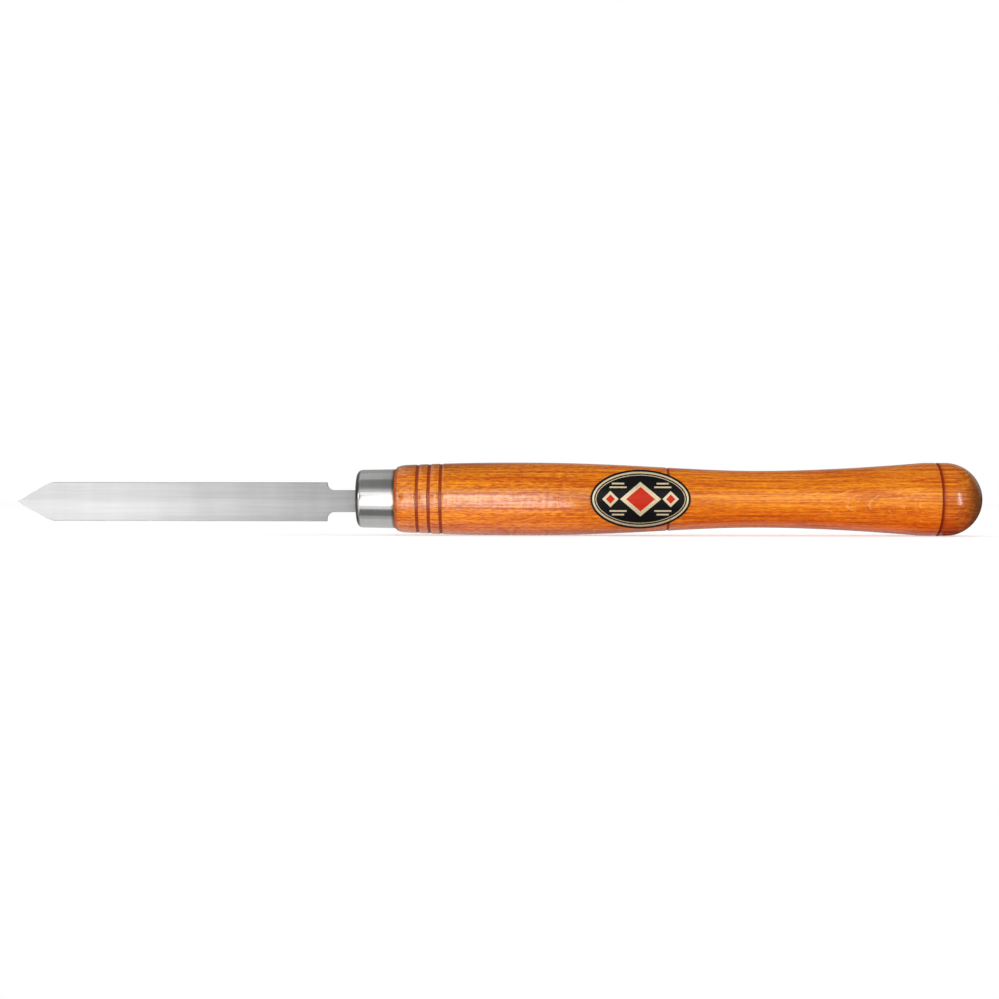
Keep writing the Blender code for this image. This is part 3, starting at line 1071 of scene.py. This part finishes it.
# The redder lower side, then the painted light and shade
tints = (
    (overlap(tree, low_side, between(tree, sides["X"], *FRONT_ENDS, *REDDER_SHARE)), REDDER_BELOW),
    (overlap(tree, nose, between(tree, sides["Z"], *TOP_SIDE)), PAINTED_SHADE_TOP_FRONT),
    (overlap(tree, front, middle_rows), PAINTED_SHADE_MID_FRONT),
    (overlap(tree, waist_alone, middle_rows), PAINTED_LIGHT_MID_WAIST),
    (overlap(tree, on_pommel, middle_rows), PAINTED_SHADE_MID_POMMEL),
    (overlap(tree, waist, between(tree, sides["Z"], *LOW_RIM)), PAINTED_LIGHT_LOW_RIM),
    (overlap(tree, low_side, on_pommel), PAINTED_SHADE_LOW_POMMEL),
    (overlap(tree, front, between(tree, sides["Z"], *BELOW_AXIS)), PAINTED_LIGHT_LOW_FRONT),
)
colour = ramp.outputs[0]
for mask, tint in tints:
    colour = tinted(tree, mask, colour, tint)
print("tints:", len(tints))

# %% [markdown]
# Over the tinted wood come the marks: the pale strokes, which are a painted highlight; the dark dashes; the
# end grain of the butt, which drinks more stain and is darkened further by painted shade; a band of painted
# shade at the butt's edge; and the stain in the grooves, with painted shade over it, and the painted shade
# on the shoulder, which each vertex already knows.

# %% Stained beech: marks
STROKE_SHARE = 0.75
DASH_SHARE = 0.35
END_STARTS = 0.004
END_POWER = 1.8
END_SHARE = 0.95
BUTT_EDGE = (-0.0092, -0.0062)
BUTT_SHARE = 0.38
# Painted highlight: the pale glints of the lacquer on the growth layers
PAINTED_GLINT_COLOUR = (1.0, 0.40, 0.09, 1)
DARK_DASH = (0.38, 0.055, 0.003, 1)
# Colour of the end grain, which drinks more stain, with painted shade on the butt over it
DARK_END_AND_SHADE = (0.08, 0.024, 0.001, 1)
# Colour of the painted shade at the butt's edge
PAINTED_SHADE_AT_BUTT = (0.05, 0.022, 0.001, 1)
# Colour of the stain in the grooves with painted shade over it, and of the painted shade on the shoulder
DARK_STAIN_AND_SHADE = (0.24, 0.016, 0.0002, 1)

# End grain and painted shade, darker towards the butt
end_grain_and_shade = between(tree, sides["X"], handle_x + dome_at - END_STARTS, handle_high.x)
end_grain_and_shade = maths(tree, "POWER", end_grain_and_shade, END_POWER)
butt_edge = tuple(handle_high.x + x for x in BUTT_EDGE)
stain_and_shade = add(tree, "ShaderNodeAttribute", attribute_name="groove").outputs["Fac"]
marks = (
    (maths(tree, "MULTIPLY", strokes, STROKE_SHARE), PAINTED_GLINT_COLOUR),
    (maths(tree, "MULTIPLY", dashes, DASH_SHARE), DARK_DASH),
    (maths(tree, "MULTIPLY", end_grain_and_shade, END_SHARE), DARK_END_AND_SHADE),
    (between(tree, sides["X"], *butt_edge, 0.0, BUTT_SHARE), PAINTED_SHADE_AT_BUTT),
    (stain_and_shade, DARK_STAIN_AND_SHADE),
)
for mask, paint in marks:
    colour = blend(tree, mask, colour, paint)
tree.links.new(colour, shader.inputs["Base Color"])
print("marks:", len(marks))

# %% [markdown]
# The lacquer is glossy but not flat. The lathe leaves rings in it, and the grain sinks a little, so the
# shine breaks up into short strokes. Both go in the bump and in the weight of the coat, and the patches of
# handling in the roughness. Stain in a groove leaves little lacquer on top.

# %% Stained beech: lacquer
SHAKE = (90, 220, 220)
SHAKE_REACH = 1.4
RINGS_PER_METRE = 620.0
RIPPLE = (700, 700, 700)
RELIEF_DEPTH = 0.00017
WOOD_ROUGHNESS = (0.24, 0.32)
STAIN_ROUGHNESS = 0.35
SPECKLE_RANGE = (0.25, 0.75, 0.52, 1.0)
STAIN_DULLS = 0.75
WOOD_SPECULAR = 0.1
LACQUER_IOR = 1.9
LACQUER_ROUGHNESS = 0.19

shake = noise(tree, stretch(tree, place, SHAKE), detail=1.0)
ring_place = maths(tree, "MULTIPLY", sides["X"], RINGS_PER_METRE)
ring_place = maths(tree, "ADD", ring_place, maths(tree, "MULTIPLY", shake, SHAKE_REACH))
lathe_rings = line_noise(tree, ring_place)
ripple = noise(tree, stretch(tree, place, RIPPLE))
reliefs = [
    (fibres["Lines"], 0.5),
    (fibres["Fine"], 0.12),
    (lathe_rings, 0.35),
    (ripple, 0.5),
    (dashes, -0.1),
]
bump(tree, shader, weighed(tree, reliefs), RELIEF_DEPTH)
rough = between(tree, wear["Patches"], 0.0, 1.0, *WOOD_ROUGHNESS)
rough = maths(tree, "ADD", rough, maths(tree, "MULTIPLY", stain_and_shade, STAIN_ROUGHNESS))
tree.links.new(rough, shader.inputs["Roughness"])
speckle = weighed(tree, [(fibres["Lines"], 1.2), (lathe_rings, 1.4), (ripple, 1.2)])
bare = maths(tree, "SUBTRACT", 1.0, maths(tree, "MULTIPLY", stain_and_shade, STAIN_DULLS))
coat = maths(tree, "MULTIPLY", between(tree, speckle, *SPECKLE_RANGE), bare)
tree.links.new(coat, shader.inputs["Coat Weight"])
shader.inputs["Specular IOR Level"].default_value = WOOD_SPECULAR
shader.inputs["Coat IOR"].default_value = LACQUER_IOR
shader.inputs["Coat Roughness"].default_value = LACQUER_ROUGHNESS
handle.data.materials.append(stained_beech)
print("finish:", stained_beech.name, "nodes", len(tree.nodes))

# %% [markdown]
# ## Finish: the label's foils
# The label is printed in black lacquer, a pale gold and red enamel. The gold is more paint than metal, so
# it keeps its colour in any surroundings. All three are a little scuffed, so one function finishes them.

# %% Label foils
SCUFFS = (120, 1200, 1200)
FOIL_DENTS = 0.00002
# Each foil: its finish, darker and lighter colour, how metallic it is, its specular level, its roughness
FOILS = (
    (black_foil, (0.004, 0.004, 0.005, 1), (0.011, 0.010, 0.011, 1), 0.0, 0.22, (0.24, 0.36)),
    (gold_foil, (0.76, 0.62, 0.37, 1), (0.94, 0.81, 0.56, 1), 0.3, 0.5, (0.22, 0.34)),
    (red_foil, (0.46, 0.016, 0.005, 1), (0.66, 0.035, 0.010, 1), 0.0, 0.25, (0.20, 0.30)),
)


def finish_foil(material, darker, lighter, metallic, specular, roughness):
    """Gives a foil its colour, its shine and its scuffs."""
    tree, shader, place = start_finish(material)
    wear = place_group(tree, handled, place)
    lines = place_group(tree, drawn_lines, stretch(tree, place, SCUFFS))
    tree.links.new(blend(tree, lines["Lines"], darker, lighter), shader.inputs["Base Color"])
    shader.inputs["Metallic"].default_value = metallic
    shader.inputs["Specular IOR Level"].default_value = specular
    tree.links.new(between(tree, wear["Patches"], 0.0, 1.0, *roughness), shader.inputs["Roughness"])
    bump(tree, shader, wear["Patches"], FOIL_DENTS)


for row in FOILS:
    finish_foil(*row)
print("finished foils:", len(FOILS))

# %% [markdown]
# ## The studio
# The tool lies on a white table before a white backdrop. White has to come from the table and the backdrop
# and not from stronger lamps, which would bleach the wood. So what the camera sees, and what the metal
# mirrors, gets some light of its own, and the table's shading keeps the shadow.

# %% Table
TABLE_SIZE = 12.0
TABLE_GREY = 0.88
TABLE_GLOW = 0.42


def seen_directly(tree):
    """1 for what the camera, a mirror or a glass sees, and 0 for light that only falls on things."""
    path = add(tree, "ShaderNodeLightPath").outputs
    share = maths(tree, "ADD", path["Is Camera Ray"], path["Is Glossy Ray"])
    return maths(tree, "ADD", share, path["Is Transmission Ray"], clamp=True)


bpy.ops.mesh.primitive_plane_add(size=TABLE_SIZE, location=(0, 0, 0))
table = bpy.context.object
table.name = "table"
table_white = new_finish("table_white")
tree = table_white.node_tree
tree.nodes.remove(tree.nodes["Principled BSDF"])
matt = add(tree, "ShaderNodeBsdfDiffuse", {"Color": (TABLE_GREY, TABLE_GREY, TABLE_GREY, 1)})
strength = maths(tree, "MULTIPLY", seen_directly(tree), TABLE_GLOW)
glow = add(tree, "ShaderNodeEmission", {"Strength": strength})
both = add(tree, "ShaderNodeAddShader", {0: matt.outputs[0], 1: glow.outputs[0]})
tree.links.new(both.outputs[0], tree.nodes["Material Output"].inputs["Surface"])
table.data.materials.append(table_white)
print("table is", TABLE_SIZE, "m wide")

# %% Backdrop
FILL = 0.64
WHITE = (1, 1, 1, 1)

world = bpy.data.worlds.new("backdrop")
world.use_nodes = True
bpy.context.scene.world = world
tree = world.node_tree
tree.nodes.remove(tree.nodes["Background"])
fill = add(tree, "ShaderNodeBackground", {"Strength": FILL, "Color": WHITE})
white = add(tree, "ShaderNodeBackground", {"Strength": 1.0, "Color": WHITE})
mixed = add(tree, "ShaderNodeMixShader", {0: seen_directly(tree), 1: fill.outputs[0], 2: white.outputs[0]})
tree.links.new(mixed.outputs[0], tree.nodes["World Output"].inputs["Surface"])
print("backdrop is white, fill", FILL)

# %% [markdown]
# Polished metal in an all-white room looks like paper. Photographers put grey and black cards round it, out
# of the picture, so that it has something dark to mirror. The first cards are strips of a wide tube round
# the tool: over the steel a sky in several greys, over the wood a nearly black one, and one bright strip
# for the stripe on the ferrule. Only shiny surfaces see a card, and it throws no shadow.

# %% Cards: the sky
SKY_RADIUS = 0.20
FAR_SKY = 2.0
SKY_ENDS = 8.0
SKY_SEAM = -0.062
BUTT_SEAM = 0.56
SKY_STEPS = 72
SLACK_DEGREES = 1
# Each strip: name, from x, to x, from and to in degrees (0 in front, 90 overhead, 180 behind), brightness
NEAR_STRIPS = (
    ("steel_sky_30", -SKY_ENDS, SKY_SEAM, 30, 35, 0.85),
    ("steel_sky_35", -SKY_ENDS, SKY_SEAM, 35, 40, 0.5),
    ("steel_sky_40", -SKY_ENDS, SKY_SEAM, 40, 45, 0.35),
    ("steel_sky_45", -SKY_ENDS, SKY_SEAM, 45, 80, 0.28),
    ("steel_sky_80", -SKY_ENDS, SKY_SEAM, 80, 120, 0.60),
    ("steel_sky_120", -SKY_ENDS, SKY_SEAM, 120, 175, 0.44),
    ("ferrule_sky", -0.14, SKY_SEAM, 15, 25, 1.6),
    ("wood_sky", SKY_SEAM, SKY_ENDS, 30, 100, 0.04),
    ("wood_back", SKY_SEAM, SKY_ENDS, 100, 140, 0.08),
    ("wood_rear", SKY_SEAM, SKY_ENDS, 140, 175, 0.35),
)
FAR_STRIPS = (
    ("blade_sky", -SKY_ENDS, -0.30, 10, 30, 0.2),
    ("point_sky", -SKY_ENDS, -0.50, 0, 10, 0.1),
    ("wood_front", 0.08, BUTT_SEAM, 0, 30, 0.46),
    ("butt_front", BUTT_SEAM, SKY_ENDS, 0, 30, 0.12),
)


def mirrored_only(obj, radiance):
    """Gives a card its brightness, and shows it to shiny surfaces alone."""
    shade = new_finish(obj.name)
    tree = shade.node_tree
    tree.nodes.remove(tree.nodes["Principled BSDF"])
    glow = add(tree, "ShaderNodeEmission", {"Strength": radiance})
    tree.links.new(glow.outputs[0], tree.nodes["Material Output"].inputs["Surface"])
    obj.data.materials.append(shade)
    obj.visible_camera = False
    obj.visible_diffuse = False
    obj.visible_shadow = False
    obj.visible_transmission = False


def degrees_round(p):
    """The angle of a place round the handle's axis."""
    return math.degrees(math.atan2(p.z - axis_z, -p.y))


def sky(radius, name, x_from, x_to, from_degrees, to_degrees, radiance):
    """A strip of a wide tube round the tool."""
    bpy.ops.mesh.primitive_cylinder_add(
        vertices=SKY_STEPS,
        radius=radius,
        depth=x_to - x_from,
        end_fill_type="NOTHING",
        location=((x_from + x_to) / 2, 0, axis_z),
        rotation=ALONG_X,
    )
    strip = settle(name)
    edit(strip)
    start = from_degrees - SLACK_DEGREES
    end = to_degrees + SLACK_DEGREES
    pick("FACE", lambda p: start < degrees_round(p) < end)
    bpy.ops.mesh.select_all(action="INVERT")
    bpy.ops.mesh.delete(type="FACE")
    leave_edit()
    mirrored_only(strip, radiance)


for strip in NEAR_STRIPS:
    sky(SKY_RADIUS, *strip)
for strip in FAR_STRIPS:
    sky(FAR_SKY, *strip)
print("strips of sky:", len(NEAR_STRIPS) + len(FAR_STRIPS))

# %% [markdown]
# The lower half of each piece mirrors the table, so cards lie there too, a hair's breadth up. Bright ones
# before the front of the handle give the sheen its lower half. Dark ones lie before the waist, at the butt
# and behind the handle, and grey ones right under the tool keep its lower rim from fading into the white.

# %% Cards: on the table
CARD_HEIGHT = 0.0002
FADE_FROM = 0.014
FADE_TO = 0.054
BUTT_CARD = 0.1965
# Each card: name, from x, to x, from y, to y, brightness, level above the table
TABLE_CARDS = (
    ("card_before_blade", -0.26, -0.072, -0.60, -0.020, 1.5, 1),
    ("card_under_blade", -0.23, -0.068, -0.005, 0.006, 0.20, 1),
    ("white_card", -0.072, 0.036, -0.25, -0.075, 4.3, 1),
    ("pale_card", -0.072, 0.036, -0.075, -0.042, 3.3, 1),
    ("card_before_handle", 0.036, 1.20, -1.90, -0.020, 0.24, 1),
    ("card_behind_handle", -0.015, 1.20, 0.006, 1.90, 0.25, 1),
    ("black_card", -0.068, -0.046, -0.025, -0.0135, 0.22, 2),
    ("wood_card", -0.046, FADE_FROM, -0.025, -0.0135, 0.32, 2),
    ("grey_card", -0.068, FADE_FROM, -0.0135, -0.0100, 0.50, 2),
    ("card_below", -0.068, -0.03, -0.0100, 0.0060, 0.70, 2),
    ("card_below", -0.03, 0.0, -0.0100, 0.0060, 0.62, 2),
    ("card_below", 0.0, FADE_FROM, -0.0100, 0.0060, 0.50, 2),
    ("dark_card", FADE_TO, BUTT_CARD, -0.036, -0.0085, 0.03, 2),
    ("dim_card", FADE_TO, BUTT_CARD, -0.0085, -0.0060, 0.20, 2),
    ("far_card_below", FADE_TO, BUTT_CARD, -0.0060, 0.0060, 0.42, 2),
    ("card_at_butt", BUTT_CARD, 0.50, -0.075, 0.50, 0.06, 2),
)


def lying_card(name, x_from, x_to, y_from, y_to, radiance, level):
    """A card on the table. Where two overlap, the one on the higher level is mirrored."""
    middle = ((x_from + x_to) / 2, (y_from + y_to) / 2, CARD_HEIGHT * level)
    bpy.ops.mesh.primitive_plane_add(size=1.0, location=middle)
    mirrored_only(settle(name, (x_to - x_from, y_to - y_from, 1)), radiance)


for card in TABLE_CARDS:
    lying_card(*card)
print("cards on the table:", len(TABLE_CARDS))

# %% [markdown]
# The edge between a pale card and a dark one would show in the lacquer as a line across the wood. So
# between the front and the waist each row of cards goes from one brightness to the other in small steps.

# %% Cards: the fade
FADE_STEPS = 5
FADE_LEVEL = 2
# Each row: from y, to y, brightness before the front of the handle, brightness before its waist
FADE_ROWS = (
    (-0.042, -0.036, 0.90, 0.24),
    (-0.036, -0.025, 0.90, 0.03),
    (-0.025, -0.0135, 0.32, 0.03),
    (-0.0135, -0.0085, 0.50, 0.03),
    (-0.0085, -0.0060, 0.50, 0.20),
    (-0.0060, 0.0060, 0.50, 0.42),
)

fade_step = (FADE_TO - FADE_FROM) / FADE_STEPS
for y_from, y_to, front_value, waist_value in FADE_ROWS:
    for step in range(FADE_STEPS):
        share = (step + 1) / (FADE_STEPS + 1)
        start = FADE_FROM + step * fade_step
        radiance = front_value + (waist_value - front_value) * share
        lying_card("fade_card", start, start + fade_step, y_from, y_to, radiance, FADE_LEVEL)
print("fade: steps", FADE_STEPS, "rows", len(FADE_ROWS))

# %% [markdown]
# The glint on the pommel is the mirror image of a softbox at the right. A wedge of light on the table below
# that softbox makes the image taller. Elsewhere the lacquer should mirror less of the softbox, so two flags
# stand before it, and a small one dims it on the pommel's upper rim. Two dark cards close the ends.

# %% Cards: glint, flags and ends
GLINT_MIDDLE = (0.450, -0.361, 3 * CARD_HEIGHT)
GLINT_TURN = (0, 0, math.radians(-54.3))
GLINT_LENGTH = 0.75
GLINT_WIDTH = 0.012
GLINT_WIDENS = 15
GLINT_FAR_END = (0.669, -0.666, 0)
GLINT_RADIANCE = 5.0
POMMEL_FACING = (0.569, -0.81, 0.142)

pommel_turn = Vector(POMMEL_FACING).to_track_quat("Z", "Y").to_euler()
# Each card: name, middle, turn, size along its two sides, brightness
STANDING_CARDS = (
    ("near_flag", (0.23, -0.37, 0.11), UPRIGHT, 0.06, 0.22, 0.46),
    ("far_flag", (0.3365, -0.37, 0.11), UPRIGHT, 0.153, 0.22, 0.12),
    ("pommel_flag", (0.228, -0.0215, 0.031), pommel_turn, 0.016, 0.016, 0.1),
    ("end_card", (0.5, 0.26, 0.5), ALONG_X, 1.0, 1.32, 0.06),
    ("left_card", (-0.7, 0.375, 0.4), ALONG_X, 0.8, 1.25, 0.03),
)

bpy.ops.mesh.primitive_plane_add(size=1.0, location=GLINT_MIDDLE, rotation=GLINT_TURN)
glint_card = settle("glint_card", (GLINT_LENGTH, GLINT_WIDTH, 1))
edit(glint_card)
pick("VERT", lambda p: p.x > GLINT_MIDDLE[0])
bpy.ops.transform.resize(value=(GLINT_WIDENS, GLINT_WIDENS, 1), center_override=GLINT_FAR_END)
leave_edit()
mirrored_only(glint_card, GLINT_RADIANCE)
for name, middle, turned, first_side, second_side, radiance in STANDING_CARDS:
    bpy.ops.mesh.primitive_plane_add(size=1.0, location=middle, rotation=turned)
    mirrored_only(settle(name, (first_side, second_side, 1)), radiance)
print("standing cards:", [card[0] for card in STANDING_CARDS])

# %% [markdown]
# The main light is a small softbox before the ferrule. It draws the white stripe on the ferrule and the
# sheen on the lacquer. A second one to the left brightens the blade's point and leaves the butt in shade,
# and a third at the right puts the small glint on the pommel. A long low strip in front fills the shadows.
# Shiny surfaces don't see that one, so it leaves no stripe. A weak softbox lights the back from above.

# %% Lamps
# Each softbox: name, place, what it faces, width, height, brightness, whether shiny surfaces mirror it
SOFTBOXES = (
    ("front_softbox", (-0.038, -0.50, 0.080), (-0.038, 0.0, 0.072), 0.14, 0.124, 3.5, True),
    ("left_softbox", (-1.05, -0.75, 0.22), (-0.10, 0.0, 0.02), 0.80, 0.42, 2.8, True),
    ("front_fill", (0.05, -1.00, 0.07), (0.05, 0.0, 0.02), 1.30, 0.12, 4.5, False),
    ("right_softbox", (0.72, -0.74, 0.15), (0.20, 0.0, 0.02), 0.27, 0.28, 7.0, True),
    ("back_softbox", (0.10, 0.70, 1.20), (0.0, 0.0, 0.0), 2.00, 1.20, 0.14, True),
)


def softbox(name, place, target, width, height, radiance, mirrored):
    """An area lamp that faces a target. Its power is worked out from how bright its face should look."""
    bpy.ops.object.light_add(type="AREA", location=place)
    lamp = bpy.context.object
    lamp.name = name
    lamp.rotation_euler = (Vector(target) - Vector(place)).to_track_quat("-Z", "Y").to_euler()
    lamp.data.shape = "RECTANGLE"
    lamp.data.size = width
    lamp.data.size_y = height
    lamp.data.energy = radiance * math.pi * width * height
    lamp.visible_camera = False
    lamp.visible_glossy = mirrored


for row in SOFTBOXES:
    softbox(*row)
print("lamps:", [row[0] for row in SOFTBOXES])
